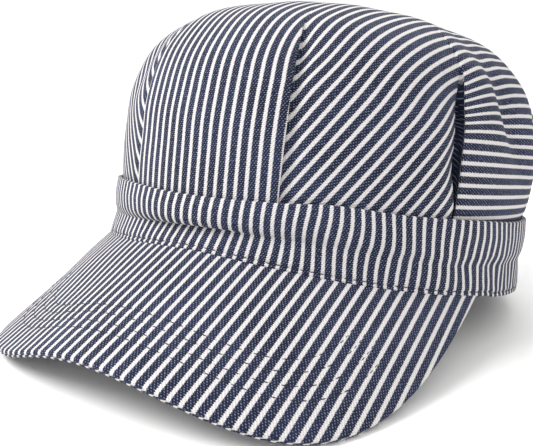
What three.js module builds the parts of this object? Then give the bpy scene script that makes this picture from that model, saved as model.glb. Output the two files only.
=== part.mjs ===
// Railroad engineer cap in striped denim: a pleated crown, a creased band and a curved visor.
// Millimetres, +Z up. The wearer's front is -Y and the wearer's left is +X.
// The cap rests by itself, on the two low corners of its visor and the back of its band's rim.
// The origin is the middle of the foot of its bounding box.

import * as THREE from 'three';

// Driving sizes
const headCircumference = 580; // round the outside of the band
const bandHeight = 31; // at the sides and back, rim to top edge
const bandWall = 2.2; // two layers of denim and the turned edge
const bandCrease = 2.9; // depth of the crease that runs round the band at mid height
const frontLift = 10.9; // how far the visor's seam rises above the rim at the front
const crownHeight = 79; // from the band's top edge to the top of the crown
const crownWall = 1.6; // denim with its seams
const crownTuck = 4; // crown cloth inside the band
const crownSwell = 2.8; // how far the crown's sides stand out past the band's inner face
const crownLean = 2.6; // how far the crown hangs back over the band
const frontRise = 4.7; // the front of the crown is pulled up this far
const pleatDepth = 3.2; // step at a pleat, from the upper fold to the cloth that it covers
const rollWidth = 13; // cloth that rolls in before the deepest pleat
const recessWidth = 6; // cloth that climbs steeply out of a pleat
const foldDepth = 2.4; // deepest dent of the soft cloth
const visorLength = 56.9; // at the centre line, seam to edge
const visorHalfWidth = 95.8; // measured flat along the cloth
const visorReach = 99; // from the seam back to the centre of the visor's rounded outline
const visorSlope = 31; // degrees below the rim's plane
const visorThickness = 3; // stiffener between two layers of denim
const seamGap = 0.3; // clearance between pieces
const restFlat = 0.6; // cloth pressed flat where the cap rests

const colours = { crown: '#4c5672', band: '#4a5470', visor: '#505a76' };

const degrees = Math.PI / 180;
const bandRadius = headCircumference / (2 * Math.PI);
const bandInside = bandRadius - bandWall;
const crownFoot = bandInside - seamGap;
const slope = visorSlope * degrees;
const liftWidth = 58 * degrees; // how far round the band the seam's rise reaches
const bandStep = 3.75 * degrees; // between the outlines that make the band

// The crown's sections meet at pleats. Each row is a pair of pleats, one on each side.
// place is in degrees from the crown's middle line. depth and roll are shares of pleatDepth:
// how far the cloth lies under its neighbour's fold, and how far the fold itself rolls in.
// width is the roll's share of rollWidth. reach is the share of the way up the crown where
// the pleat begins to open out.
const pleats = [
  { place: 20.8, depth: 0.95, roll: 0.1, width: 0.3, reach: 0.58 },
  { place: 62.5, depth: 1.75, roll: 1.1, width: 1, reach: 0.44 },
  { place: 105, depth: 1.2, roll: 0.5, width: 0.7, reach: 0.5 },
  { place: 150, depth: 1.0, roll: 0.3, width: 0.6, reach: 0.5 },
];
const crownTurn = -3.7; // degrees that the crown's middle line sits off the visor's
const pleatEdge = 1.2; // degrees over which the cloth steps down at a pleat
const pleatRise = 0.7; // share of a section over which its cloth climbs out of the pleat
const pleatOpening = 0.16; // share of the way up over which a pleat opens out

// Dents of the soft crown. place is in degrees from the visor's middle line, height and
// length are shares of crownHeight, lean is in degrees from upright, width is a share of
// crownHeight and depth a share of foldDepth, below 0 where the cloth stands out.
const folds = [
  { place: 75, height: 0.5, lean: 24, length: 0.24, width: 0.05, depth: 1.1 },
  { place: 69, height: 0.56, lean: 22, length: 0.2, width: 0.055, depth: -0.8 },
  { place: 83, height: 0.46, lean: 8, length: 0.34, width: 0.06, depth: -0.6 },
  { place: 92, height: 0.6, lean: -12, length: 0.22, width: 0.08, depth: 0.5 },
  { place: -38, height: 0.62, lean: -14, length: 0.2, width: 0.09, depth: 0.5 },
  { place: -84, height: 0.52, lean: -22, length: 0.26, width: 0.07, depth: 0.7 },
  { place: -128, height: 0.48, lean: 16, length: 0.28, width: 0.09, depth: 0.6 },
  { place: 128, height: 0.5, lean: -18, length: 0.26, width: 0.09, depth: 0.6 },
  { place: 176, height: 0.56, lean: 20, length: 0.24, width: 0.1, depth: 0.7 },
];

const smooth = (x) => {
  const t = Math.min(Math.max(x, 0), 1);
  return t * t * (3 - 2 * t);
};

// Height of the visor's seam above the rim's plane, at an angle from the front.
const seamHeight = (angle) => frontLift * Math.exp(-(Math.abs(angle / liftWidth) ** 1.5));

// A point of the visor's upper face: on the seam at the angle, then run along the slope.
function visorPoint(angle, run) {
  const y = -bandRadius * Math.cos(angle) - run * Math.cos(slope);
  const z = seamHeight(angle) - run * Math.sin(slope);
  return new THREE.Vector3(bandRadius * Math.sin(angle), y, z);
}

// The run, below 0, where the visor's upper face passes a radius inside the band.
function runAtRadius(angle, radius) {
  const across = bandRadius * Math.sin(angle);
  const inside = Math.sqrt(Math.max(radius ** 2 - across ** 2, 0));
  return -(bandRadius * Math.cos(angle) - inside) / Math.cos(slope);
}

// Height of the visor's upper face above the band's inner face, at an angle from the front.
function visorTopInside(angle) {
  const source = Math.asin(bandInside * Math.sin(angle) / bandRadius);
  return visorPoint(source, runAtRadius(source, bandInside)).z;
}

// The seam's place in the flat visor: side is the way along the cloth from the centre line
// and run how far the seam lies in front of its own centre, below 0.
function flatSeam() {
  const steps = 720;
  const table = [{ angle: 0, side: 0, run: 0 }];
  const start = visorPoint(0, 0);
  const forward = new THREE.Vector3(0, -Math.cos(slope), -Math.sin(slope));
  let last = start;
  for (let i = 1; i <= steps; i++) {
    const angle = (i / steps) * 80 * degrees;
    const point = visorPoint(angle, 0);
    const step = point.clone().sub(last);
    const along = step.dot(forward);
    const side = table[i - 1].side + Math.sqrt(Math.max(step.lengthSq() - along ** 2, 0));
    table.push({ angle, side, run: point.clone().sub(start).dot(forward) });
    last = point;
  }
  return table;
}

// The visor's outline is a squarish oval: how far its edge lies in front of the seam's
// centre, at a distance along the cloth from the centre line.
function edgeRun(side) {
  const share = Math.min(Math.abs(side) / visorHalfWidth, 1);
  return (visorLength + visorReach) * (1 - share ** 4) ** 0.25 - visorReach;
}

// Columns of the visor from its middle to a corner: the angle on the seam and the length
// of the visor there, spaced evenly round the edge.
function visorColumns(count) {
  const rows = flatSeam().map((row) => ({ ...row, length: edgeRun(row.side) - row.run }));
  const corner = rows.findIndex((row) => row.length <= 0);
  const kept = rows.slice(0, corner);
  const along = [0];
  for (let i = 1; i < kept.length; i++) {
    const side = kept[i].side - kept[i - 1].side;
    const edge = kept[i].length + kept[i].run - kept[i - 1].length - kept[i - 1].run;
    along.push(along[i - 1] + Math.hypot(side, edge));
  }
  const total = along[along.length - 1];
  const columns = [];
  for (let i = 0; i <= count; i++) {
    const goal = (i / count) * total;
    const index = Math.max(along.findIndex((value) => value >= goal), 0);
    columns.push({ angle: kept[index].angle, length: kept[index].length });
  }
  return columns;
}

const halfVisor = visorColumns(24);
const visorCorner = halfVisor[halfVisor.length - 1].angle;

// One closed outline of the visor's thickness at an angle on the seam.
function visorSection({ angle, length }) {
  const tangent = visorPoint(angle + 0.001, 0).sub(visorPoint(angle - 0.001, 0));
  const forward = new THREE.Vector3(0, -Math.cos(slope), -Math.sin(slope));
  const up = forward.clone().cross(tangent).normalize();
  const inner = runAtRadius(angle, bandInside);
  const round = visorThickness / 3;
  const end = Math.max(length, round);
  const runs = [0, 0.2, 0.4, 0.6, 0.8, 1].map((share) => inner + (end - round - inner) * share);
  const at = (run, depth) => visorPoint(angle, run).addScaledVector(up, -depth * visorThickness);
  const foot = runs.map((run) => at(run, 1));
  const edge = [at(end, 0.75), at(end, 0.25)];
  const top = runs.map((run) => at(run, 0)).reverse();
  return [...foot, ...edge, ...top];
}

// Depth of the band's crease: soft all round and sharpest at the front, left of the middle.
function creaseDepth(angle) {
  const off = (angle / degrees + 30) / 26;
  return bandCrease * (0.35 + 0.65 * Math.exp(-off * off));
}

// One closed outline of the band's thickness at an angle from the front.
function bandSection(angle) {
  const outerFoot = seamHeight(angle);
  const overVisor = Math.abs(angle) < visorCorner + 2 * bandStep;
  const rise = overVisor ? visorTopInside(angle) - outerFoot : 0;
  const gap = overVisor ? seamGap * Math.hypot(1, rise / bandWall) : 0;
  const foot = outerFoot + gap;
  const height = bandHeight - foot;
  const reach = Math.min(0.3, 0.5 - (crownTuck + seamGap) / height);
  const depth = creaseDepth(angle);
  const levels = [0, 0.5 - reach, 0.5 - reach / 3, 0.5, 0.5 + reach / 3, 0.5 + reach, 1];
  const place = (radius, z) =>
    new THREE.Vector3(radius * Math.sin(angle), -radius * Math.cos(angle), z);
  const inward = (level) => depth * Math.max(1 - Math.abs(level - 0.5) / reach, 0);
  const outside = levels.map((level) => place(bandRadius - inward(level), foot + height * level));
  const innerFoot = foot + rise;
  const innerHeight = bandHeight - innerFoot;
  const inside = levels.map((level) =>
    place(bandInside - inward(level), innerFoot + innerHeight * level));
  return [...outside, ...inside.reverse()];
}

// Radius and height of the crown's smooth form at an angle, share running from 0 at the
// band to 1 at the top: a squarish oval, flatter on top than it is round at the shoulder.
function crownProfile(angle, share) {
  const turn = (Math.PI / 2) * Math.min(share, 1) ** 1.89;
  const climb = crownHeight * Math.sin(turn) ** 0.53;
  const widest = crownFoot + crownSwell - crownLean * Math.cos(angle);
  const settle = (widest - crownFoot) * Math.exp(-climb / 14);
  const radius = share >= 1 ? 0 : widest * Math.max(Math.cos(turn), 0) ** 0.8 - settle;
  const tilt = frontRise * Math.cos(angle) * (Math.max(radius, 0) / bandRadius);
  return { radius: Math.max(radius, 0), height: bandHeight + climb * (1 + tilt / crownHeight) };
}

// How much of a pleat is left at a share of the way up: it opens out to a soft valley,
// which runs out further up.
function pleatLeft(reach, share) {
  const fold = 1 - smooth((share - reach) / pleatOpening);
  const valley = 1 - smooth((share - reach - pleatOpening) / 0.25);
  return 0.8 * fold + 0.2 * valley;
}

// How far the cloth lies below the crown's smooth form because of the pleats: level is
// 0 on an upper fold and -1 under one, and roll belongs to the next fold.
function pleatDrop({ level, pleat, roll, next }, share) {
  const pressed = 0.6 + 0.4 * smooth(share / 0.15);
  const under = level * pleat.depth * pleatLeft(pleat.reach, share);
  const rolled = roll * next.roll * pleatLeft(next.reach, share) * smooth(share / 0.2);
  return (under + rolled) * pleatDepth * pressed;
}

// How far the dents push the cloth in, at an angle from the front and a height.
function foldDrop(angle, height) {
  let drop = 0;
  for (const fold of folds) {
    let turn = angle / degrees - fold.place;
    turn -= 360 * Math.round(turn / 360);
    const across = (turn * degrees * bandRadius) / crownHeight;
    const up = (height - bandHeight) / crownHeight - fold.height;
    const lean = fold.lean * degrees;
    const side = across * Math.cos(lean) + up * Math.sin(lean);
    const along = up * Math.cos(lean) - across * Math.sin(lean);
    const near = (side / fold.width) ** 2 + (along / fold.length) ** 2;
    drop -= fold.depth * foldDepth * Math.exp(-near);
  }
  return drop;
}

// How far the cloth has rolled in, from 0 to -1, at a distance before the next fold.
function rollAt(turn, next) {
  const before = (turn * degrees * bandRadius) / (rollWidth * next.width);
  return -(Math.max(1 - before, 0) ** 2);
}

// Columns round the crown, each with its angle, its level in the pleat, the pleat and the
// roll before the next one. On each side of a pleat the cloth steps from the upper fold to
// the cloth below it, which climbs out of the recess, steeply first.
function crownColumns() {
  const half = [];
  const frontCount = 5;
  const frontEnd = pleats[0].place - pleatEdge / 2;
  for (let i = 0; i <= frontCount; i++) {
    const place = (frontEnd * i) / frontCount;
    const roll = rollAt(frontEnd - place, pleats[0]);
    half.push({ place, level: 0, pleat: pleats[0], roll, next: pleats[0] });
  }
  pleats.forEach((pleat, index) => {
    const last = index === pleats.length - 1;
    const next = last ? pleat : pleats[index + 1];
    const start = pleat.place + pleatEdge / 2;
    const end = last ? 180 : next.place - pleatEdge / 2;
    const count = last ? 7 : 11;
    for (let i = 0; i <= count; i++) {
      const share = (i / count) ** 1.15;
      const place = start + (end - start) * share;
      const out = (place - start) * degrees * bandRadius;
      const steep = 1 - smooth(out / recessWidth);
      const slow = 1 - smooth(share / pleatRise);
      const roll = last ? 0 : rollAt(end - place, next);
      half.push({ place, level: -0.5 * (steep + slow), pleat, roll, next });
    }
  });
  const mirrored = half.slice(1, -1).map((column) => ({ ...column, place: -column.place }));
  return [...half, ...mirrored.reverse()];
}

// One line of the crown's cloth from its top, down the inside to the foot that is tucked
// into the band, and back up the outside.
function crownSection(column, rows) {
  const angle = (column.place + crownTurn) * degrees;
  const at = (radius, z) =>
    new THREE.Vector3(radius * Math.sin(angle), -radius * Math.cos(angle), z);
  const line = (depth) => {
    const points = [];
    for (let i = 0; i < rows; i++) {
      const share = i / rows;
      const here = crownProfile(angle, share);
      const next = crownProfile(angle, share + 0.01);
      const steep = new THREE.Vector2(next.height - here.height, here.radius - next.radius);
      steep.normalize();
      const drop = pleatDrop(column, share) + foldDrop(angle, here.height) * smooth(share / 0.2);
      const off = drop * smooth((1 - share) / 0.15) - depth;
      points.push(at(here.radius + off * steep.x, here.height + off * steep.y));
    }
    const foot = crownFoot + pleatDrop(column, 0) - depth;
    return [at(foot, bandHeight - crownTuck), ...points];
  };
  const peak = crownProfile(angle, 1).height;
  return [at(0, peak - crownWall), ...line(crownWall).reverse(), ...line(0), at(0, peak)];
}

// Triangles between neighbouring outlines. ring joins the last outline to the first,
// closed joins each outline's last point to its first.
function skin(count, points, ring, closed) {
  const faces = [];
  const outlines = ring ? count : count - 1;
  const steps = closed ? points : points - 1;
  for (let i = 0; i < outlines; i++) {
    for (let j = 0; j < steps; j++) {
      const a = i * points + j;
      const b = ((i + 1) % count) * points + j;
      const c = ((i + 1) % count) * points + ((j + 1) % points);
      const d = i * points + ((j + 1) % points);
      faces.push([a, b, c], [a, c, d]);
    }
  }
  return faces;
}

function bodyOf(points, faces) {
  const geometry = new THREE.BufferGeometry();
  geometry.setAttribute('position', new THREE.Float32BufferAttribute(points.flatMap((p) => p.toArray()), 3));
  geometry.setIndex(faces.flat());
  geometry.computeVertexNormals();
  return geometry;
}

function bandPoints() {
  const count = Math.round((2 * Math.PI) / bandStep);
  const sections = [];
  for (let i = 0; i < count; i++) {
    sections.push(bandSection(i * bandStep - Math.PI));
  }
  const size = sections[0].length;
  return { points: sections.flat(), faces: skin(count, size, true, true) };
}

function visorPoints() {
  const left = halfVisor.slice(1).map((column) => ({ ...column, angle: -column.angle })).reverse();
  const sections = [...left, ...halfVisor].map(visorSection);
  const size = sections[0].length;
  const faces = skin(sections.length, size, false, true);
  const end = (sections.length - 1) * size;
  for (let j = 1; j < size - 1; j++) {
    faces.push([0, j, j + 1], [end, end + j + 1, end + j]);
  }
  return { points: sections.flat(), faces };
}

// The two ends of each crown line are the crown's top, inside and outside: one point each.
function crownPoints() {
  const rows = 15;
  const sections = crownColumns().map((column) => crownSection(column, rows));
  const size = sections[0].length;
  const inner = size - 2;
  const points = sections.flatMap((section) => section.slice(1, -1));
  const faces = skin(sections.length, inner, true, false);
  const top = points.length;
  points.push(sections[0][0], sections[0][size - 1]);
  for (let i = 0; i < sections.length; i++) {
    const next = (i + 1) % sections.length;
    faces.push([top, next * inner, i * inner]);
    faces.push([top + 1, i * inner + inner - 1, next * inner + inner - 1]);
  }
  return { points, faces };
}

const pieces = { crown: crownPoints(), band: bandPoints(), visor: visorPoints() };

// The cap leans back until the visor's lowest points and the back of the rim touch the
// floor: the steepest line from the back of the rim to any point of the visor.
const leans = pieces.visor.points.map((point) => Math.atan2(-point.z, bandRadius - point.y));
const restPitch = Math.max(...leans);

const all = Object.values(pieces).flatMap((piece) => piece.points);
for (const point of all) {
  point.applyAxisAngle(new THREE.Vector3(1, 0, 0), -restPitch);
}
const box = new THREE.Box3().setFromPoints(all);
const middle = box.getCenter(new THREE.Vector3());
for (const point of all) {
  point.x -= middle.x;
  point.y -= middle.y;
  point.z = Math.max(point.z - box.min.z - restFlat, 0);
}

const cap = new THREE.Group();
cap.name = 'engineer_cap';
for (const [name, piece] of Object.entries(pieces)) {
  const material = new THREE.MeshStandardMaterial({
    name: 'striped_denim',
    color: colours[name],
    roughness: 0.9,
    metalness: 0,
  });
  const mesh = new THREE.Mesh(bodyOf(piece.points, piece.faces), material);
  mesh.name = name;
  cap.add(mesh);
}

export default cap;
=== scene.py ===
"""Railroad engineer cap in hickory-stripe denim, laid out as a Blender add-on and run as a script.

The cap's own frame has its origin in the middle of the band's rim, +Z up through the crown, -Y to
the wearer's front and +X to the wearer's left. Shapes are worked out there in millimetres, and
seat() leans them back onto the surface and turns them to metres.
"""

import math
from types import SimpleNamespace

import bpy
import numpy as np
from bpy.props import FloatProperty, FloatVectorProperty, PointerProperty
from bpy.types import NodeSocket, Operator, Panel, PropertyGroup
from mathutils import Matrix, Vector


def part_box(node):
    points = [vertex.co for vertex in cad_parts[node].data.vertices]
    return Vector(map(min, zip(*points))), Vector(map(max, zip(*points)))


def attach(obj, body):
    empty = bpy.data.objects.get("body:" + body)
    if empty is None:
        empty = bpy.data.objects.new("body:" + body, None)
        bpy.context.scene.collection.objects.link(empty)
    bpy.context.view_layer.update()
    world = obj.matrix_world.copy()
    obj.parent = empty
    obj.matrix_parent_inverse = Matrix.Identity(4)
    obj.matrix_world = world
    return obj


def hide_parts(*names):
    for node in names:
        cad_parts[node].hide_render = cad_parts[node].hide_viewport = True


bl_info = {
    "name": "Engineer Cap",
    "version": (1, 0, 0),
    "blender": (4, 5, 0),
    "location": "3D View > Sidebar > Engineer Cap",
    "description": "Builds a striped denim engineer cap around its fixed frame",
    "category": "Object",
}

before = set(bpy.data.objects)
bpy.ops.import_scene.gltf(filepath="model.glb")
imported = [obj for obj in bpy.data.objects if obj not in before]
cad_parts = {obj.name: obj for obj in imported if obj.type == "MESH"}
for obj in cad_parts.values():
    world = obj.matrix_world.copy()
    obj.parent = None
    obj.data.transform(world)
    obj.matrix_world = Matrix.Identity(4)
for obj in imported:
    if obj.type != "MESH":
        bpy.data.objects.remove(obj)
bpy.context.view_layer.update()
MM = 0.001

# The crown's pleats, one row for each pair. place is in degrees from the crown's middle line. depth
# and roll are shares of the pleat depth: how far the cloth lies under its neighbour's fold, and how
# far the fold itself rolls in. width is the roll's share of the roll width, reach the share of the
# way up where the pleat begins to open out, and undercut how far the cloth is tucked back, in mm. lip
# is the share of the depth at which the next section's cloth comes out: 1 where it comes from under
# the fold, and less where a gap stands open, whose far side is set over by gape, in mm.
PLEATS = (
    dict(place=22.2, depth=0.95, roll=0.1, width=0.3, reach=0.50, undercut=3.0, lip=1.0, gape=0.0),
    dict(place=62.5, depth=2.60, roll=1.4, width=0.8, reach=0.38, undercut=4.5, lip=0.14, gape=0.8),
    dict(place=105.0, depth=1.20, roll=0.5, width=0.7, reach=0.50, undercut=3.2, lip=1.0, gape=0.0),
    dict(place=150.0, depth=1.00, roll=0.3, width=0.6, reach=0.50, undercut=3.0, lip=1.0, gape=0.0),
)

# Direction of the stripes in each section, in degrees from upright, from the front section on.
STRIPE_TURNS = (0.0, 37.0, 88.0, 134.0, 180.0)

# The path of the cloth across a pleat, from the upper fold to the cloth below it: way is the share
# of the path, tuck the sideways place as a share of the undercut and drop a share of the depth.
PLEAT_PATH = np.array([
    # way, tuck, drop
    (0.00, 0.00, 0.00),
    (0.10, 0.12, -0.06),
    (0.20, 0.16, -0.16),
    (0.30, 0.06, -0.27),
    (0.46, -0.80, -0.38),
    (0.56, -1.00, -0.52),
    (0.66, -0.95, -0.70),
    (0.80, -0.35, -0.90),
    (1.00, 0.00, -1.00),
])
# The same path where a gap stands open: over the fold, down under it, across and up again under the
# next section's own fold.
GAP_PATH = np.array([
    # way, tuck, drop
    (0.00, 0.00, 0.00),
    (0.08, 0.10, -0.06),
    (0.16, 0.12, -0.14),
    (0.24, 0.02, -0.24),
    (0.34, -0.45, -0.36),
    (0.45, -0.60, -0.80),
    (0.56, 0.00, -1.00),
    (0.66, 0.55, -0.95),
    (0.76, 0.60, -0.62),
    (0.86, 0.25, -0.32),
    (0.92, 0.00, -0.25),
    (0.96, -0.06, -0.19),
    (1.00, 0.00, -0.14),
])
# Shares of the two paths where one section's cloth ends and the next one's begins. Between them the
# cloth in the open gap is laid on one navy stripe, so that only navy shows: painted shade of the recess.
PLEAT_SPLITS = (0.56, 0.56)
GAP_SPLITS = (0.38, 0.93)

# Where the stripes of each piece begin, as shares of their pitch.
CROWN_PHASE = 0.81
BAND_PHASE = 0.0
VISOR_PHASE = 0.87

# The crown's smooth form: the powers that square its oval, and how far up, in mm, it is drawn in to
# the band.
TURN_POWER = 1.89
CLIMB_POWER = 0.53
RADIUS_POWER = 0.8
DRAW_IN = 7.0

# Shares of the way up the crown's outside.
FOLD_OPENING = 0.16  # a pleat's fold opens out over this much
VALLEY_LENGTH = 0.25  # the valley above it runs out over this much
# The open gap's cloth is laid on navy, as painted shade, up to this far above the pleat's reach.
GAP_SHADE_TOP = 0.10  # an open gap ends this far above the pleat's reach
MAP_END = 0.14  # above a pleat's reach by this much, the cloth is laid out with the top
MAP_BLEND = 0.26  # and it changes over to that within this much
TOP_FADE = 0.15  # pleats and dents fade out over the last of the way

VALLEY_SHARE = 0.08  # depth of the valley above a pleat, as a share of the pleat's
PRESSED = 0.6  # share of a pleat's depth that is left at the band, where it is sewn flat
TUCK_AT_BAND = 0.35  # share of a pleat's tuck and gape that is left there
CREEP = 0.3  # mm, slow unevenness of the crown's cloth

# Dents of the soft crown. place is in degrees from the visor's middle line, height, length and width
# are shares of the crown's height, lean is in degrees from upright and depth a share of the fold
# depth, below 0 where the cloth stands out.
FOLDS = (
    dict(place=76, height=0.50, lean=24, length=0.24, width=0.070, depth=1.55),
    dict(place=65, height=0.58, lean=22, length=0.20, width=0.085, depth=-0.80),
    dict(place=87, height=0.46, lean=8, length=0.34, width=0.080, depth=-0.80),
    dict(place=92, height=0.60, lean=-12, length=0.22, width=0.080, depth=0.50),
    dict(place=-38, height=0.62, lean=-14, length=0.20, width=0.090, depth=0.50),
    dict(place=-84, height=0.52, lean=-22, length=0.26, width=0.070, depth=0.70),
    dict(place=-128, height=0.48, lean=16, length=0.28, width=0.090, depth=0.60),
    dict(place=128, height=0.50, lean=-18, length=0.26, width=0.090, depth=0.60),
    dict(place=176, height=0.56, lean=20, length=0.24, width=0.100, depth=0.70),
)

# Unevenness of the band's top edge: place and width in degrees, rise in mm.
BAND_WAVES = (
    dict(place=-6, width=17, rise=-0.9),
    dict(place=31, width=10, rise=1.3),
    dict(place=84, width=14, rise=-0.7),
    dict(place=150, width=20, rise=0.6),
    dict(place=-95, width=18, rise=-0.6),
)

# Quilting rows of the visor, on the flat cloth in mm: reach is the way from the seam's centre to the
# row at the centre line and spread the row's half width.
QUILT_ROWS = (
    dict(reach=32.3, spread=63.5),
    dict(reach=36.2, spread=67.5),
    dict(reach=40.3, spread=71.5),
    dict(reach=44.1, spread=75.8),
)

# The photograph's camera in the cap's own frame: degrees and mm, and its lens on a 36 mm sensor.
CAMERA = dict(
    azimuth=30.82, elevation=6.26, roll=5.62, distance=309.0, aside=-22.68, above=14.83, lens=44.09)

# Lamps: name, place in m, size in m and power in W. Their target is the cap's middle, in m.
LAMPS = (
    ("key_light", (-1.1, -0.8, 1.5), 1.5, 38.0),
    ("back_light", (-0.5, 1.5, 1.6), 1.2, 10.0),
)
LAMP_TARGET = (0.0, 0.0, 0.06)
SKY_STRENGTH = 1.04
FLOOR_REACH = 6.0  # m from the middle to a side
FLOOR_DROP = 0.0002  # m that the floor lies below the cap, so that the two don't share a plane

# Unevenness of this cap, in mm.
RIM_SPREAD = 3.6  # the right side of the rim is spread outwards
VISOR_SAG = 2.6  # the visor hangs lower between its middle and its right corner
TIP_LIFT = 2.2  # the visor's right tip is lifted
TIP_DRAW = 1.2  # and drawn in
BAND_GATHER = 5.1  # cloth gathered in on the band's left side
BAND_SLANT = 2.6  # lean of the stripes between the crease and the visor

# Sewing, in mm if nothing else is said.
STITCH_LENGTH = 2.3
STITCH_WIDTH = 0.4
QUILT_STITCH_GAP = 0.6
BAND_STITCH_GAP = 0.7
QUILT_GROOVE = 0.14  # how far the quilting sinks into the visor
BAND_STITCH_RISE = 1.5  # from the band's lower edge to its topstitch
SEAM_TURN = 1.4  # radians round the visor's edge, from its upper face to the seam
UNDER_SHIFT = 1.7  # how far the stripes of the under cloth are set over
UNDER_PLACE = 20.0  # the under cloth is cut this far on in the weave
SHOULDER = 84.0  # cloth from the middle of the crown's top to its shoulder
BAND_ROOM = 0.35  # the band's outside stays this far inside the frame's, so that bulges have room

# Counts of points: round or across the piece, and up or out along it.
CROWN_SIDE_COLUMNS = 44
CROWN_MIDDLE_COLUMNS = 34
CROWN_OUTER_ROWS = 96
CROWN_INNER_ROWS = 40
BAND_COLUMNS = 760
BAND_INNER_ROWS = 26
VISOR_HALF_COLUMNS = 190
VISOR_ROWS = 84


def length_property(name, description, millimetres):
    """A length, kept in metres, whose default is given in millimetres."""
    return FloatProperty(
        name=name, description=description, default=millimetres * MM, min=0.0, precision=5, unit="LENGTH")


def angle_property(name, description, degrees):
    """An angle, kept in radians, whose default is given in degrees."""
    return FloatProperty(name=name, description=description, default=math.radians(degrees), subtype="ANGLE")


def hex_linear(code):
    """An sRGB hex colour as linear RGB: each channel's curve is undone."""
    channels = [int(code[i:i + 2], 16) / 255 for i in (1, 3, 5)]
    return tuple(c / 12.92 if c <= 0.04045 else ((c + 0.055) / 1.055) ** 2.4 for c in channels)


def colour_property(name, description, code):
    """A colour whose default is an sRGB hex code."""
    return FloatVectorProperty(name=name, description=description, default=(*hex_linear(code), 1.0),
                               size=4, min=0.0, max=1.0, subtype="COLOR")


class CapSizes(PropertyGroup):
    """Sizes of the cap, as the frame has them."""

    circumference: length_property("Circumference", "Round the outside of the band", 580.0)
    band_height: length_property("Band height", "Rim to top edge at the sides", 31.0)
    band_wall: length_property("Band wall", "Two layers of denim", 2.2)
    band_crease: length_property("Band crease", "Depth of the crease in the band", 2.9)
    front_lift: length_property("Front lift", "Rise of the visor's seam at the front", 10.9)
    lift_width: angle_property("Lift width", "How far round the band the seam's rise reaches", 58.0)
    crown_height: length_property("Crown height", "Band's top edge to the top", 79.0)
    crown_wall: length_property("Crown wall", "Denim with its seams", 1.6)
    crown_tuck: length_property("Crown tuck", "Crown cloth inside the band", 4.0)
    crown_swell: length_property("Crown swell", "Sides stand out past the band's inside", 2.8)
    crown_lean: length_property("Crown lean", "How far the crown hangs back", 2.6)
    front_rise: length_property("Front rise", "The front is pulled up this far", 4.7)
    crown_turn: angle_property("Crown turn", "The crown's middle line sits off the visor's", -3.7)
    pleat_depth: length_property("Pleat depth", "Step at a pleat", 3.2)
    pleat_edge: angle_property("Pleat edge", "Width of the step at a pleat", 1.2)
    roll_width: length_property("Roll width", "Cloth that rolls in before the deepest pleat", 13.0)
    recess_width: length_property("Recess width", "Cloth that climbs steeply out of a pleat", 6.0)
    fold_depth: length_property("Fold depth", "Deepest dent of the soft cloth", 2.4)
    visor_length: length_property("Visor length", "Seam to edge at the centre", 56.9)
    visor_half_width: length_property("Visor half width", "Along the cloth", 95.8)
    visor_reach: length_property("Visor reach", "Seam back to the outline's centre", 99.0)
    visor_slope: angle_property("Visor slope", "Fall below the rim's plane", 31.0)
    visor_thickness: length_property("Visor thickness", "Stiffener between two layers", 3.0)
    gap: length_property("Gap", "Clearance between pieces", 0.3)
    rest_flat: length_property("Pressed flat", "Cloth pressed flat where the cap rests", 0.6)


class CapCloth(PropertyGroup):
    """Colours and pattern sizes of the denim."""

    stripe_pitch: length_property("Stripe pitch", "From one white stripe to the next", 4.03)
    stripe_width: length_property("Stripe width", "Width of a white stripe", 1.38)
    twill_gap: length_property("Twill gap", "From one twill line to the next", 0.92)
    weft_gap: length_property("Weft gap", "From one fleck of weft to the next", 0.75)
    twill_turn: angle_property("Twill turn", "Angle from the warp to the twill lines", 35.0)
    navy: colour_property("Navy", "Indigo warp where it is worn", "#1f253d")
    navy_deep: colour_property("Deep navy", "Indigo warp where it is least worn", "#121628")
    fleck: colour_property("Fleck", "Pale weft that shows between the indigo threads", "#767e96")
    white: colour_property("White", "Undyed warp of the stripes", "#d3cfce")
    # White shade is painted shade of the undyed warp between its ridges; on the back of the cloth it is the
    # weft's own colour.
    white_painted_shade_and_weft: colour_property("White shade", "Undyed warp between its ridges", "#b0abad")
    thread_dark: colour_property("Sewing thread", "Dark thread of the seams", "#1c2033")
    floor: colour_property("Floor", "Plain pale floor", "#fbfbfa")


def read_group(group):
    """A property group's values by name: lengths in mm, the others as they are."""
    values = {}
    for key, prop in group.bl_rna.properties.items():
        if key not in ("rna_type", "name"):
            value = getattr(group, key)
            values[key] = value / MM if getattr(prop, "unit", "NONE") == "LENGTH" else value
    return SimpleNamespace(**values)


def sizes():
    """The sizes that a user has set: lengths in mm and angles in radians."""
    return read_group(bpy.context.scene.cap_sizes)


def cloth():
    """The colours and pattern sizes that a user has set."""
    return read_group(bpy.context.scene.cap_cloth)


def ramp(x, start, end):
    """A soft step from 0 at start to 1 at end: 3 times the square of the way less 2 times its cube."""
    way = np.clip((x - start) / (end - start), 0.0, 1.0)
    return way * way * (3.0 - 2.0 * way)


def bell(x):
    """A bell curve: e to the power of less x squared."""
    return np.exp(-x * x)


def band_radius():
    """Radius of the band's outside: its circumference over two pi."""
    return sizes().circumference / (2 * math.pi)


def round_place(angle, radius, height):
    """A point at an angle from the front, a radius from the cap's axis and a height."""
    angle, radius, height = np.broadcast_arrays(angle, radius, height)
    return np.stack([radius * np.sin(angle), -radius * np.cos(angle), height], -1)


def seam_height(angle):
    """Height of the visor's seam: the front lift times a bell of the angle to the power 1.5."""
    s = sizes()
    return s.front_lift * np.exp(-np.abs(angle / s.lift_width) ** 1.5)


def forward():
    """Unit vector down the visor's slope, towards the wearer's front."""
    slope = sizes().visor_slope
    return np.array([0.0, -math.cos(slope), -math.sin(slope)])


def visor_face(angle, run):
    """A point of the visor's upper face: the seam's point at the angle, plus run along the slope."""
    angle, run = np.broadcast_arrays(angle, run)
    return round_place(angle, band_radius(), seam_height(angle)) + run[..., None] * forward()


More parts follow.
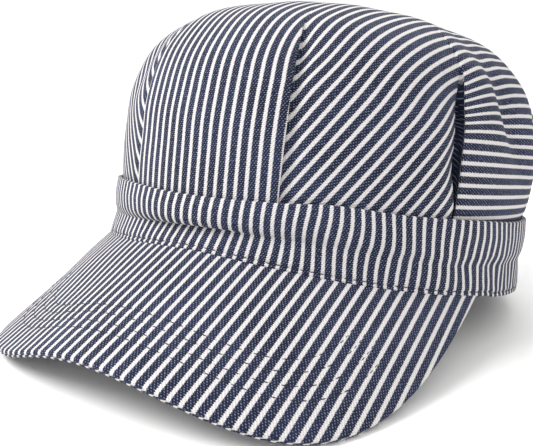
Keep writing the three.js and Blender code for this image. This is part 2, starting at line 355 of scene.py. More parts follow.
def visor_normal(angle):
    """Unit normal of the visor's upper face: the slope's direction crossed with the seam's tangent."""
    step = 1e-3
    tangent = visor_face(angle + step, 0.0) - visor_face(angle - step, 0.0)
    normal = np.cross(forward(), tangent)
    return normal / np.linalg.norm(normal, axis=-1, keepdims=True)


def run_at_radius(angle, radius):
    """The run, below 0, where the visor's face passes a radius inside the band."""
    r = band_radius()
    inside = np.sqrt(np.clip(radius ** 2 - (r * np.sin(angle)) ** 2, 0.0, None))
    return -(r * np.cos(angle) - inside) / math.cos(sizes().visor_slope)


def flat_seam():
    """The seam laid flat: angle, side along the cloth from the centre line, and run in front of the
    seam's own centre. side adds up the part of each step that lies across the slope."""
    angle = np.radians(np.linspace(0.0, 80.0, 1601))
    points = visor_face(angle, 0.0)
    steps = np.diff(points, axis=0)
    along = steps @ forward()
    across = np.sqrt(np.clip((steps ** 2).sum(1) - along ** 2, 0.0, None))
    side = np.concatenate([[0.0], np.cumsum(across)])
    return angle, side, (points - points[0]) @ forward()


def edge_run(side):
    """The visor's outline, a squarish oval: 1 is the fourth powers of side over half width and of
    run plus reach over length plus reach, added."""
    s = sizes()
    share = np.clip(np.abs(side) / s.visor_half_width, 0.0, 1.0)
    return (s.visor_length + s.visor_reach) * (1 - share ** 4) ** 0.25 - s.visor_reach


def visor_outline(count):
    """Columns across the visor: signed angle on the seam, side along the cloth, the seam's run and
    the visor's length there, spaced evenly round the edge from one corner to the other."""
    angle, side, run = flat_seam()
    length = edge_run(side) - run
    corner = np.argmax(length <= 0)
    angle, side, run, length = angle[:corner], side[:corner], run[:corner], length[:corner]
    along = np.concatenate([[0.0], np.cumsum(np.hypot(np.diff(side), np.diff(length + run)))])
    goal = np.linspace(0.0, along[-1], count)
    half = [np.interp(goal, along, values) for values in (angle, side, run, length)]
    signs = (-1.0, -1.0, 1.0, 1.0)
    return [np.concatenate([sign * v[:0:-1], v]) for sign, v in zip(signs, half)]


def rest_pitch():
    """The cap's lean: the steepest line from the back of the rim to a point of the visor."""
    angle, _, _, length = visor_outline(200)
    foot = visor_face(angle, length) - sizes().visor_thickness * visor_normal(angle)
    return float(np.max(np.arctan2(-foot[:, 2], band_radius() - foot[:, 1])))


def lean_back(points):
    """Turns points about X by the cap's lean, so that the front rises."""
    pitch = rest_pitch()
    x, y, z = points[..., 0], points[..., 1], points[..., 2]
    leant_y = y * math.cos(pitch) + z * math.sin(pitch)
    leant_z = z * math.cos(pitch) - y * math.sin(pitch)
    return np.stack([x, leant_y, leant_z], -1)


def seat_shift():
    """How far the leant cap moves to lie where the frame has it: its visor's edge meets the
    frame's, and the back of the rim is pressed flat by its share."""
    angle, _, _, length = visor_outline(200)
    front = lean_back(visor_face(angle, length))[:, 1].min()
    low = lean_back(np.array([0.0, band_radius(), 0.0]))[2]
    return np.array([0.0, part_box("visor")[0][1] / MM - front, -low - sizes().rest_flat])


def settle(points):
    """Unevenness of this cap: the right side of its rim is spread outwards, and the visor hangs a
    little lower between its middle and its right corner, whose tip is lifted."""
    x, y, z = points[..., 0], points[..., 1], points[..., 2]
    low = ramp(z, 20.0, 4.0) * ramp(z, -20.0, 0.0)
    spread = RIM_SPREAD * ramp(x, -40.0, -85.0) * ramp(y, -105.0, -55.0) * ramp(y, 60.0, 0.0) * low
    sag = VISOR_SAG * bell((x + 45.0) / 20.0) * ramp(y, -85.0, -115.0)
    tip = ramp(x, -66.0, -90.0) * ramp(z, 0.0, -10.0)
    return np.stack([x - spread + TIP_DRAW * tip, y, z - sag + TIP_LIFT * tip], -1)


def seat(points):
    """Cap frame in millimetres to the shared frame in metres, pressed flat where it rests."""
    placed = lean_back(settle(points)) + seat_shift()
    placed[..., 2] = np.maximum(placed[..., 2], 0.0)
    return placed * MM


def grid_faces(rows, columns, ring, closed):
    """Quads of a grid of points: rows lines of columns points. ring joins the last line to the
    first and closed joins the last point of each line to its first."""
    i = np.arange(rows if ring else rows - 1)[:, None]
    j = np.arange(columns if closed else columns - 1)[None, :]
    a = i * columns + j
    b = (i + 1) % rows * columns + j
    c = (i + 1) % rows * columns + (j + 1) % columns
    d = i * columns + (j + 1) % columns
    return np.stack([a, b, c, d], -1).reshape(-1, 4)


def make_mesh(name, points, faces, uv=None, slots=None, materials=()):
    """A mesh object at the origin from seated points, arrays of faces, a flat map in metres of cloth
    for every point, and a material number for every face."""
    mesh = bpy.data.meshes.new(name)
    totals = np.concatenate([np.full(len(f), f.shape[1], dtype=np.int32) for f in faces])
    corners = np.concatenate([f.ravel() for f in faces]).astype(np.int32)
    mesh.vertices.add(len(points))
    mesh.vertices.foreach_set("co", points.astype(np.float32).ravel())
    mesh.loops.add(len(corners))
    mesh.loops.foreach_set("vertex_index", corners)
    mesh.polygons.add(len(totals))
    starts = np.concatenate([[0], np.cumsum(totals)[:-1]]).astype(np.int32)
    mesh.polygons.foreach_set("loop_start", starts)
    if slots is not None:
        mesh.polygons.foreach_set("material_index", slots.astype(np.int32))
    if uv is not None:
        layer = mesh.uv_layers.new(name="cloth")
        layer.data.foreach_set("uv", uv[corners].astype(np.float32).ravel())
    mesh.update(calc_edges=True)
    mesh.shade_smooth()
    for material in materials:
        mesh.materials.append(material)
    piece = bpy.data.objects.new(name, mesh)
    bpy.context.scene.collection.objects.link(piece)
    return piece


def crown_profile(angle, share):
    """Radius and height of the crown's smooth form: a squarish oval whose radius is a power of the
    cosine and whose height is a power of the sine of one turn, drawn in to the band at its foot."""
    s = sizes()
    foot = band_radius() - s.band_wall - s.gap
    turn = (math.pi / 2) * np.clip(share, 0.0, 1.0) ** TURN_POWER
    climb = s.crown_height * np.sin(turn) ** CLIMB_POWER
    widest = foot + s.crown_swell - s.crown_lean * np.cos(angle)
    drawn_in = (widest - foot) * np.exp(-climb / DRAW_IN)
    radius = widest * np.clip(np.cos(turn), 0.0, None) ** RADIUS_POWER - drawn_in
    radius = np.clip(np.where(share >= 1.0, 0.0, radius), 0.0, None)
    tilt = s.front_rise * np.cos(angle) * radius / band_radius()
    return radius, s.band_height + climb * (1 + tilt / s.crown_height)


def crown_slope(angle, share):
    """The profile's outward normal as its parts along the radius and the height."""
    radius, height = crown_profile(angle, share)
    ahead_radius, ahead_height = crown_profile(angle, share + 0.01)
    out, up = ahead_height - height, radius - ahead_radius
    size = np.hypot(out, up)
    return out / size, up / size


def pleat_left(reach, share):
    """How much of a pleat is left: its fold opens out to a soft valley, which runs out above."""
    opened = reach + FOLD_OPENING
    fold = ramp(share, opened, reach)
    valley = ramp(share, opened + VALLEY_LENGTH, opened)
    return (1 - VALLEY_SHARE) * fold + VALLEY_SHARE * valley


def fold_drop(angle, height):
    """Dents of the crown: for each fold, a bell curve across its line times one along it."""
    s = sizes()
    drop = np.zeros(np.broadcast(angle, height).shape)
    for fold in FOLDS:
        turn = np.degrees(angle) - fold["place"]
        turn = turn - 360.0 * np.round(turn / 360.0)
        across = np.radians(turn) * band_radius() / s.crown_height
        up = (height - s.band_height) / s.crown_height - fold["height"]
        lean = math.radians(fold["lean"])
        side = across * math.cos(lean) + up * math.sin(lean)
        along = up * math.cos(lean) - across * math.sin(lean)
        drop -= fold["depth"] * s.fold_depth * bell(side / fold["width"]) * bell(along / fold["length"])
    return drop


def section_columns(index):
    """Lines down one section of the crown: place, level under the pleat before it, roll towards the
    pleat after it and tuck, where a gap's far side is set over. The cloth climbs out of a pleat in
    two ways that count half each: steeply at the pleat, and slowly over 0.7 of the section."""
    s = sizes()
    edge = math.degrees(s.pleat_edge) / 2
    first, last = index == 0, index == len(PLEATS)
    start = 0.0 if first else PLEATS[index - 1]["place"] + edge
    end = 180.0 if last else PLEATS[index]["place"] - edge
    share = np.linspace(0.0, 1.0, CROWN_MIDDLE_COLUMNS if first or last else CROWN_SIDE_COLUMNS)
    place = start + (end - start) * share
    level, roll, tuck = 0 * share, 0 * share, 0 * share
    if not first:
        past = np.radians(place - start) * band_radius()
        climb = ramp(past, s.recess_width, 0.0) + ramp(share, 0.7, 0.0)
        level = -0.5 * climb * PLEATS[index - 1]["lip"]
        tuck = PLEATS[index - 1]["gape"] * np.exp(-past / 9.0)
    if not last:
        before = np.radians(end - place) * band_radius() / (s.roll_width * PLEATS[index]["width"])
        roll = -np.clip(1 - before, 0, None) ** 2
    return place, level, roll, tuck


def crown_columns():
    """Lines down the crown, all round. Each has its place and the pleat that it lies under (level,
    depth, reach), the roll before the next one (roll, next_reach), its tuck, and for the flat map
    its section's middle and stripe turn, the place where the section's own cloth ends, how far the
    cloth slides past it into the pleat, and whether it is the plain cloth of a gap, which is laid on
    navy as painted shade."""
    s = sizes()
    edge = math.degrees(s.pleat_edge) / 2
    names = ("place", "level", "depth", "reach", "roll", "next_reach", "tuck",
             "middle", "turn", "cloth_place", "slide", "plain")
    parts = []

    def add(place, level, pleat, roll, after, tuck, middle, turn, cloth_place, slide, plain):
        values = (place, level, pleat["depth"], pleat["reach"], roll * after["roll"], after["reach"],
                  tuck, middle, turn, cloth_place, slide, plain)
        parts.append(np.stack([value + 0.0 * place for value in values], -1))

    count = len(PLEATS)
    places = [pleat["place"] for pleat in PLEATS]
    middles = [0.0, *(np.array(places[:-1]) + places[1:]) / 2, 180.0]
    for index in range(count + 1):
        place, level, roll, tuck = section_columns(index)
        before, after = PLEATS[max(index - 1, 0)], PLEATS[min(index, count - 1)]
        add(place, level, before, roll, after, tuck, middles[index], STRIPE_TURNS[index], place, 0.0, 0.0)
        if index == count:
            break
        path, splits = (GAP_PATH, GAP_SPLITS) if after["gape"] else (PLEAT_PATH, PLEAT_SPLITS)
        way = np.sort(np.append(np.linspace(0.0, 1.0, 26), np.unique(splits)))
        tuck = np.interp(way, path[:, 0], path[:, 1]) * after["undercut"]
        tuck = tuck + after["gape"] * ramp(way, 0.25, 0.75)
        drop = np.interp(way, path[:, 0], path[:, 2])
        roll = np.maximum.accumulate(-drop) - 1
        fall = (drop * after["depth"] + roll * after["roll"]) * s.pleat_depth
        slide = np.concatenate([[0.0], np.cumsum(np.hypot(np.diff(tuck), np.diff(fall)))])
        place = after["place"] + edge * (2 * way - 1)
        upper = (way > 0) & (way <= splits[0])
        between = (way >= splits[0]) & (way <= splits[1])
        lower = (way >= splits[1]) & (way < 1)
        cloths = [(upper, index, -edge, 0.0, 0.0), (lower, index + 1, edge, slide[-1], 0.0)]
        # Cloth between the splits is marked plain, so that it is laid on navy as painted shade of the gap.
        if splits[0] < splits[1]:
            cloths.insert(1, (between, index, -edge, 0.0, 1.0))
        for part, section, side, slid, plain in cloths:
            add(place[part], drop[part], after, roll[part], after, tuck[part], middles[section],
                STRIPE_TURNS[section], after["place"] + side, slide[part] - slid, plain)
    right = np.concatenate(parts)
    left = right[1:-1][::-1].copy()
    turned_over = ("place", "tuck", "middle", "turn", "cloth_place", "slide")
    left[:, [names.index(name) for name in turned_over]] *= -1
    rows = np.concatenate([right, left])
    return SimpleNamespace(**{name: rows[:, k:k + 1] for k, name in enumerate(names)})


def crown_drop(columns, share, place):
    """How far the outer cloth lies below the smooth form: the pleat that it lies under, the roll
    before the next one, the dents, and slow waves made of two sines."""
    s = sizes()
    pressed = PRESSED + (1 - PRESSED) * ramp(share, 0.0, 0.15)
    under = columns.level * columns.depth * pleat_left(columns.reach, share)
    free = ramp(share, 0.0, 0.2)
    rolled = columns.roll * pleat_left(columns.next_reach, share) * free
    dents = fold_drop(place, crown_profile(place, share)[1]) * free
    creep = CREEP * np.sin(place * 9.0 + share * 11.0) * np.sin(place * 5.0 - share * 17.0)
    drop = (under + rolled) * s.pleat_depth * pressed + dents + creep * ramp(share, 0.0, 0.3)
    return drop * ramp(share, 1.0, 1.0 - TOP_FADE)


def crown_outside(columns, share):
    """The crown's outer face: the smooth form pushed along its own normal by the cloth's drop, and
    sideways by each pleat's tuck."""
    place = np.radians(columns.place) + sizes().crown_turn
    drop = crown_drop(columns, share, place)
    radius = crown_profile(place, share)[0]
    free = TUCK_AT_BAND + (1 - TUCK_AT_BAND) * ramp(share, 0.0, 0.3)
    side = columns.tuck * pleat_left(columns.reach, share) * free
    least_radius = 20.0  # mm, so that a step sideways stays small near the top
    place = place + side / np.maximum(radius, least_radius)
    radius, height = crown_profile(place, share)
    out, up = crown_slope(place, share)
    return round_place(place, radius + drop * out, height + drop * up)


def crown_inside(columns, share):
    """The crown's inner face: below the outer cloth by the wall, and further in near each pleat,
    whose layers lie behind it, by a soft step from 15.4 to 4.4 mm away from it."""
    s = sizes()
    place = np.radians(columns.place) + s.crown_turn
    near = np.zeros_like(columns.place)
    for pleat in PLEATS:
        off = np.radians(np.abs(np.abs(columns.place) - pleat["place"])) * band_radius()
        near = np.maximum(near, pleat["depth"] * ramp(off, 15.4, 4.4))
    left = pleat_left(columns.reach, share) * ramp(share, 1.0, 1.0 - TOP_FADE)
    layers = -near * s.pleat_depth * left
    drop = np.minimum(crown_drop(columns, share, place), layers) - s.crown_wall
    radius, height = crown_profile(place, share)
    out, up = crown_slope(place, share)
    return round_place(place, radius + drop * out, height + drop * up)


def crown_cloth(columns, share):
    """The crown's flat map in mm: on the top the cloth is a disc laid out by its distance from the
    middle, and in each section below the shoulder it is laid out by the way down and across, turned
    by the section's own angle."""
    fine = np.linspace(0.0, 1.0, 2001)
    radius, height = crown_profile(0.0 * fine, fine)
    steps = np.hypot(np.diff(radius), np.diff(height))
    to_top = np.concatenate([np.cumsum(steps[::-1])[::-1], [0.0]])
    arc = np.interp(share, fine, to_top)
    radius = crown_profile(np.radians(columns.place), share)[0]
    left = pleat_left(columns.reach, share)
    across = np.radians(columns.cloth_place - columns.middle) * radius + columns.slide * left
    across = across + np.radians(columns.place - columns.cloth_place) * radius * (1 - left)
    down = arc - SHOULDER
    middle, turn = np.radians(columns.middle), np.radians(columns.turn)
    side_s = SHOULDER * np.sin(middle) + down * np.sin(turn) + across * np.cos(turn)
    side_c = SHOULDER * np.cos(middle) + down * np.cos(turn) - across * np.sin(turn)
    top_s, top_c = arc * np.sin(np.radians(columns.place)), arc * np.cos(np.radians(columns.place))
    places, reaches = [p["place"] for p in PLEATS], [p["reach"] for p in PLEATS]
    whole = np.interp(np.abs(columns.place), places, reaches) + MAP_END
    mix = ramp(share, whole, whole - MAP_BLEND)
    cloth_s, cloth_c = top_s + (side_s - top_s) * mix, -top_c - (side_c - top_c) * mix
    # Cloth in an open gap, up to its top, is laid on one navy stripe: painted shade for the recess.
    off_middle = 0.12 * columns.slide - 1.0  # mm, which stays inside one navy stripe
    shade_navy_s = np.sign(columns.place) * off_middle - CROWN_PHASE * cloth().stripe_pitch
    painted_gap_shade = (columns.plain > 0.5) & (share < columns.reach + GAP_SHADE_TOP)
    return np.stack([np.where(painted_gap_shade, shade_navy_s, cloth_s), cloth_c], -1)


def crown_mesh():
    """Points, faces, flat map and material numbers of the crown: inner lines down to the foot in
    the band, outer lines back up to the top, and one point at each top."""
    s = sizes()
    columns = crown_columns()
    outer_share = np.linspace(0.0, 1.0, CROWN_OUTER_ROWS, endpoint=False)[None, :]
    inner_share = np.linspace(0.0, 1.0, CROWN_INNER_ROWS, endpoint=False)[None, :]
    outer, inner = crown_outside(columns, outer_share), crown_inside(columns, inner_share)
    outer_map, inner_map = crown_cloth(columns, outer_share), crown_cloth(columns, inner_share)
    drop = np.array([0.0, 0.0, s.band_height - s.crown_tuck])
    outer_foot, inner_foot = (line[:, :1] * (1, 1, 0) + drop for line in (outer, inner))
    turn = np.radians(columns.turn)
    foot_map = outer_map[:, :1] + s.crown_tuck * np.stack([np.sin(turn), -np.cos(turn)], -1)
    lines = np.concatenate([inner[:, ::-1], inner_foot, outer_foot, outer], 1)
    cloth_map = np.concatenate([inner_map[:, ::-1], foot_map, foot_map, outer_map], 1)
    count, size = lines.shape[:2]
    peak = float(crown_profile(np.array(0.0), np.array(1.0))[1])
    tops = np.array([[0.0, 0.0, peak - s.crown_wall], [0.0, 0.0, peak]])
    points = np.concatenate([lines.reshape(-1, 3), tops])
    uv = np.concatenate([cloth_map.reshape(-1, 2), np.zeros((2, 2))]) * MM
    quads = grid_faces(count, size, True, False)
    line = np.arange(count)
    after = (line + 1) % count
    top_in, top_out = count * size, count * size + 1
    inner_fan = np.stack([np.full(count, top_in), after * size, line * size], -1)
    outer_fan = np.stack([np.full(count, top_out), line * size + size - 1, after * size + size - 1], -1)
    inside = np.arange(len(quads)) % (size - 1) < inner.shape[1] + 1
    slots = np.concatenate([inside.astype(int), np.ones(count, int), np.zeros(count, int)])
    return seat(points), [quads, inner_fan, outer_fan], uv, slots


def crease_depth(angle):
    """Depth of the band's crease: soft all round, sharpest where a bell curve stands front left."""
    return sizes().band_crease * (0.3 + 0.95 * bell((np.degrees(angle) + 6.0) / 27.0))


def band_foot(angle):
    """Heights of the band's lower edge outside and inside: on the visor's upper face where there is
    a visor, with the gap, and on the seam's line behind it."""
    s = sizes()
    outer = seam_height(angle)
    corner = np.abs(visor_outline(60)[0]).max()
    inside = band_radius() - s.band_wall
    source = np.arcsin(np.clip(inside * np.sin(angle) / band_radius(), -1, 1))
    top = visor_face(source, run_at_radius(source, inside))[..., 2]
    over = ramp(np.abs(angle), corner + math.radians(8.5), corner + math.radians(5.5))
    rise = np.clip(top - outer, 0.0, None) * over
    gap = s.gap * np.hypot(1.0, rise / s.band_wall) * over
    return outer + gap, outer + gap + rise


def band_top(angle):
    """Height of the band's top edge: its even height plus a bell curve for each wave."""
    top = sizes().band_height + 0.0 * angle
    for wave in BAND_WAVES:
        off = np.degrees(angle) - wave["place"]
        off = off - 360.0 * np.round(off / 360.0)
        top = top + wave["rise"] * bell(off / wave["width"])
    return top


def band_line(angle):
    """Radius and height of the band's outside, from its foot to its top. Above the crease the cloth
    bulges and turns in by an exponential, which is sharp in front and droops there; below, it
    flares out by a power to a lip under the stitching. Bell curves set the stitches in a groove and
    pucker the cloth over them, and sines kink it elsewhere. Lines lie closer at the crease."""
    foot, top = band_foot(angle)[0], band_top(angle)
    level = np.sort(np.append(np.linspace(0.0, 1.0, 50), np.linspace(0.37, 0.57, 26)))[None, :]
    crease = 0.43 + 0.035 * np.sin(angle * 4.0 + 0.6)
    depth = crease_depth(angle)
    sharp = bell((np.degrees(angle) + 2.0) / 21.0)
    off = level - crease
    above = np.exp(-np.clip(off, 0.0, None) / (0.16 - 0.115 * sharp))
    below = np.clip(level / crease, 0.0, 1.0) ** 1.2
    inward = depth * np.where(off > 0.0, above, below)
    height = foot + (top - foot) * level
    rise = height - foot
    groove = 0.45 * bell((rise - BAND_STITCH_RISE) / 0.5) + 0.2 * ramp(rise, 1.0, 0.0)
    pucker = np.sin(angle * 67.0 + 2.0 * np.sin(angle * 7.0)) * bell((rise - 2.8) / 1.6)
    kink = np.sin(angle * 23.0 + 3.0 * np.sin(angle * 5.0)) * bell(off / 0.16)
    bulge = (0.6 + 0.5 * sharp) * ramp(off, 0.0, 0.15) * ramp(level, 1.05, 0.75)
    radius = band_radius() - BAND_ROOM - inward - groove + 0.16 * pucker + 0.3 * kink * (1 - sharp) + bulge
    droop = 0.8 * sharp * bell((off - 0.06) / 0.05)
    return radius, height - droop


def band_mesh():
    """The band: each outline round its wall goes up the outside, over a rounded top edge and down
    the inside. The flat map runs round the band and up along the cloth. Sines sway its stripes, more
    of the cloth is gathered in on the left, and in front the stripes lean below the crease."""
    s = sizes()
    count = BAND_COLUMNS
    angle = (np.arange(count) / count * 2 * math.pi - math.pi)[:, None]
    out_r, out_z = band_line(angle)
    top, inner_foot = band_top(angle), band_foot(angle)[1]
    level = np.linspace(1.0, 0.0, BAND_INNER_ROWS)[None, :]
    in_z = inner_foot + (top - inner_foot) * level
    climbing = np.maximum.accumulate(out_z, axis=1)
    behind = np.array([np.interp(*row) for row in zip(in_z, climbing, out_r)]) - 0.75 * s.band_wall
    in_r = np.minimum(behind, band_radius() - s.band_wall - 0.05)
    turn = np.linspace(0.0, math.pi, 9)[None, 1:-1]
    centre, half = (out_r[:, -1:] + in_r[:, :1]) / 2, (out_r[:, -1:] - in_r[:, :1]) / 2
    top_r, top_z = centre + half * np.cos(turn), top + 0.5 * np.sin(turn)
    line_r = np.concatenate([out_r, top_r, in_r], 1)
    line_z = np.concatenate([out_z, top_z, in_z], 1)
    steps = np.hypot(np.diff(line_r, axis=1), np.diff(line_z, axis=1))
    up = np.concatenate([0 * angle, steps], 1).cumsum(1)
    sway = 0.35 * np.sin(up / 9.0 + angle * 4.0)
    degrees = np.degrees(angle)
    ripple = 0.45 * np.sin(up / 3.6 + angle * 9.0) * ramp(degrees, 8.0, 28.0)
    gather = BAND_GATHER * ramp(degrees, 5.0, 50.0)
    slant = BAND_SLANT * bell((degrees + 6.0) / 22.0) * np.clip(1 - up / 9.0, 0.0, 1.0)
    uv = np.stack([band_radius() * angle + gather + sway + ripple + slant, up], -1).reshape(-1, 2) * MM
    points = round_place(angle, line_r, line_z)
    size = points.shape[1]
    quads = grid_faces(count, size, True, True)
    inside = np.arange(len(quads)) % size >= size - in_r.shape[1] + 2
    return seat(points.reshape(-1, 3)), quads, uv, inside.astype(int)


def quilt_run(row, side):
    """Run of a quilting row at a side: its reach times the 2.3rd root of 1 less the share of its
    spread to the power 4.5, so that it sweeps back to the band at its ends."""
    share = np.clip(np.abs(side) / row["spread"], 0.0, 1.0)
    return row["reach"] * (1 - share ** 4.5) ** (1 / 2.3)


def quilt_drop(side, run):
    """Grooves of the quilting on the visor: a narrow bell curve across each row's line."""
    drop = np.zeros(np.broadcast(side, run).shape)
    for row in QUILT_ROWS:
        near = ramp(np.abs(side), row["spread"], row["spread"] - 2.0)
        drop += QUILT_GROOVE * bell((run - quilt_run(row, side)) / 0.9) * near
    return drop


def visor_mesh():
    """The visor: each outline across it runs out along the upper face, round the edge and back
    under it, square to the slope. Grooves follow the quilting and a seam runs along the edge, and
    the stripes of the cloth below that seam are set over."""
    s = sizes()
    angle, side, seam, length = (v[:, None] for v in visor_outline(VISOR_HALF_COLUMNS))
    inner = run_at_radius(angle, band_radius() - s.band_wall)
    half = s.visor_thickness / 2
    end = np.maximum(length, half)
    run = inner + (end - half - inner) * np.linspace(0.0, 1.0, VISOR_ROWS)[None, :]
    normal = visor_normal(angle[:, 0])[:, None, :]
    groove = quilt_drop(side, run + seam)
    groove_below = 0.8 * groove
    top = visor_face(angle, run) - groove[..., None] * normal
    under = visor_face(angle, run) - (s.visor_thickness - groove_below)[..., None] * normal
    turn = np.linspace(0.0, math.pi, 15)[None, 1:-1]
    seam_groove = 0.3 * bell((turn - SEAM_TURN) / 0.2)
    out = end - half + half * np.sin(turn) - seam_groove
    edge = visor_face(angle, out) - (half - half * np.cos(turn))[..., None] * normal
    points = np.concatenate([under, edge[:, ::-1], top[:, ::-1]], 1)
    edge_run_flat = end - half + half * turn
    under_flat = 2 * end + UNDER_PLACE - run
    flat = np.concatenate([under_flat, edge_run_flat[:, ::-1], run[:, ::-1]], 1) + seam
    below = np.concatenate([0 * run + 1, (turn[:, ::-1] > SEAM_TURN) + 0 * edge_run_flat, 0 * run], 1)
    uv = np.stack([side + UNDER_SHIFT * below, flat], -1).reshape(-1, 2) * MM
    count, size = points.shape[:2]
    last = (count - 1) * size
    j = np.arange(1, size - 1)
    start_cap = np.stack([0 * j, j, j + 1], -1)
    end_cap = np.stack([0 * j + last, last + j + 1, last + j], -1)
    return seat(points.reshape(-1, 3)), [grid_faces(count, size, False, True), start_cap, end_cap], uv


def stitch_row(path, normals, gap):
    """Stitches along a path: for each, a stretched six-sided bead whose radius follows a half sine
    along its length, lying half sunk in the cloth. Returns points, quads and end faces."""
    steps = np.linalg.norm(np.diff(path, axis=0), axis=1)
    along = np.concatenate([[0.0], np.cumsum(steps)])
    starts = np.arange(0.5 * gap, along[-1] - STITCH_LENGTH, STITCH_LENGTH + gap)
    rings = np.linspace(0.0, 1.0, 7)
    where = starts[:, None] + rings[None, :] * STITCH_LENGTH

    def sample(values, at):
        return np.stack([np.interp(at, along, values[:, k]) for k in range(3)], -1)

    centre = sample(path, where)
    up = sample(normals, where)
    up /= np.linalg.norm(up, axis=-1, keepdims=True)
    tangent = sample(path, where + 0.05) - sample(path, where - 0.05)
    tangent /= np.maximum(np.linalg.norm(tangent, axis=-1, keepdims=True), 1e-9)
    across = np.cross(up, tangent)
    radius = (STITCH_WIDTH / 2 * (0.12 + 0.88 * np.sin(math.pi * rings) ** 0.6))[None, :, None, None]
    sides = 6
    turn = (2 * math.pi * np.arange(sides) / sides)[None, None, :, None]
    ring_up = up[:, :, None] * (0.1 * STITCH_WIDTH + radius * np.sin(turn))
    points = centre[:, :, None] + ring_up + across[:, :, None] * radius * np.cos(turn)
    offsets = np.arange(len(starts)) * len(rings) * sides
    ring = grid_faces(len(rings), sides, False, True)
    quads = (ring[None] + offsets[:, None, None]).reshape(-1, 4)
    first, final = np.arange(sides)[::-1], np.arange(sides) + (len(rings) - 1) * sides
    caps = np.stack([first, final])[None] + offsets[:, None, None]
    return points.reshape(-1, 3), quads, caps.reshape(-1, sides)


def visor_stitches():
    """The quilting: one row of stitches for each row of the table, on the visor's upper face."""
    angle, side, seam, _ = visor_outline(400)
    parts = []
    for row in QUILT_ROWS:
        at = np.linspace(-row["spread"], row["spread"], 1200)
        turn = np.interp(at, side, angle)
        out = quilt_run(row, at) - np.interp(at, side, seam)
        kept = out > 0.8
        normal = visor_normal(turn[kept])
        path = visor_face(turn[kept], out[kept]) - (QUILT_GROOVE + 0.02) * normal
        parts.append(stitch_row(path, normal, QUILT_STITCH_GAP))
    return parts


def band_stitches():
    """The topstitch of the band: one row in the groove above its lower edge, all round. The first
    12 points up the band's outside give the cloth's radius there."""
    angle = np.linspace(-math.pi, math.pi, 1600)
    out_r, out_z = (line[:, :12] for line in band_line(angle[:, None]))
    height = band_foot(angle)[0] + BAND_STITCH_RISE
    radius = np.array([np.interp(*row) for row in zip(height, out_z, out_r)])
    path = round_place(angle, radius, height)
    normal = round_place(angle, 1.0, 0.0)
    return [stitch_row(path, normal, BAND_STITCH_GAP)]


def join_parts(parts):
    """Joins lists of points, quads and end faces into one."""
    points, quads, caps, base = [], [], [], 0
    for part_points, part_quads, part_caps in parts:
        points.append(part_points)
        quads.append(part_quads + base)
        caps.append(part_caps + base)
        base += len(part_points)
    return np.concatenate(points), [np.concatenate(quads), np.concatenate(caps)]


def add_node(tree, kind, inputs, **settings):
    """Adds a node with its settings and returns its outputs. inputs holds, by name or number, what
    goes into each socket: a number or colour is set on it, and a node's output is linked to it."""
    node = tree.nodes.new("ShaderNode" + kind)
    for key, value in settings.items():
        setattr(node, key, value)
    for key, value in inputs.items():
        if isinstance(value, NodeSocket):
            tree.links.new(value, node.inputs[key])
        else:
            node.inputs[key].default_value = value
    return node.outputs


def new_tree(name):
    """An empty node material and its tree."""
    material = bpy.data.materials.new(name)
    material.use_nodes = True
    material.node_tree.nodes.clear()
    return material, material.node_tree


